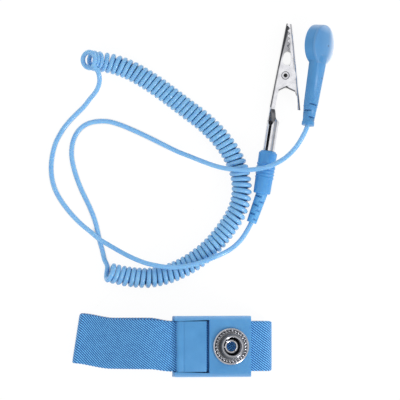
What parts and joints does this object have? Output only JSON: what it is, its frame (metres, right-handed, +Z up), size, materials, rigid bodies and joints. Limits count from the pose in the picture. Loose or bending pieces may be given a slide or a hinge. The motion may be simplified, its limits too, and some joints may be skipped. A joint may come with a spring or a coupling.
{
  "type": "esd_wrist_strap",
  "caption": "Antistatic wrist strap: a blue elastic band with a lever buckle and a snap stud, and a curly cord with a snap plug and an alligator clip.",
  "frame": {"origin": "table level, under the middle of the box round everything but the free cord", "axes": "+Z up from the table; +Y from the wristband towards the clip's tip; +X along the wristband from its soft fold to its buckle"},
  "size_m": [0.114, 0.141, 0.0197],
  "materials": {
    "band_fabric": "twill-woven elastic webbing",
    "blue_plastic": "moulded, satin",
    "cord_plastic": "extruded, soft sheen",
    "nickel": "nickel-plated sheet and turned metal",
    "steel": "plain spring and sheet steel",
    "copper_wire": "tinned copper wire",
    "resistor_coat": "lacquered resistor body"
  },
  "bodies": {
    "cord_set": {"snap_housing": "blue_plastic", "snap_socket": "nickel", "socket_spring": "steel", "resistor": "resistor_coat", "resistor_lead_front": "copper_wire", "resistor_lead_rear": "copper_wire", "cord_snap_lead": "cord_plastic", "cord_coil": "cord_plastic", "cord_clip_lead": "cord_plastic", "cord_boot": "cord_plastic", "handle_sleeve": "blue_plastic", "banana_pin": "nickel", "clip_conductor": "copper_wire"},
    "clip": {"clip_lower_jaw": "nickel", "clip_pivot": "nickel", "clip_spring": "steel"},
    "jaw": {"clip_upper_jaw": "nickel"},
    "wristband": {"elastic_band": "band_fabric", "buckle_body": "blue_plastic", "contact_plate": "steel", "snap_stud": "nickel", "stud_eyelet": "nickel"},
    "lever": {"buckle_lever": "blue_plastic"}
  },
  "joints": [
    {"name": "clip_pull", "type": "slide", "parent": "cord_set", "child": "clip", "axis": [0.1564, 0.9877, 0], "range_m": [0, 0.0095]},
    {"name": "jaw_hinge", "type": "hinge", "parent": "clip", "child": "jaw", "pos_m": [0.0329, 0.0497, 0.00395], "axis": [0, 0, -1], "range_deg": [0, 32], "stiffness_Nm_per_rad": 0.06, "springref_deg": -57.3, "deforming": ["clip_spring"]},
    {"name": "wristband_lift", "type": "slide", "parent": "cord_set", "child": "wristband", "axis": [0, 0, 1], "range_m": [0, 0.04]},
    {"name": "lever_hinge", "type": "hinge", "parent": "wristband", "child": "lever", "pos_m": [-0.0095, -0.0583, 0.01818], "axis": [0, -1, 0], "range_deg": [0, 110]}
  ]
}
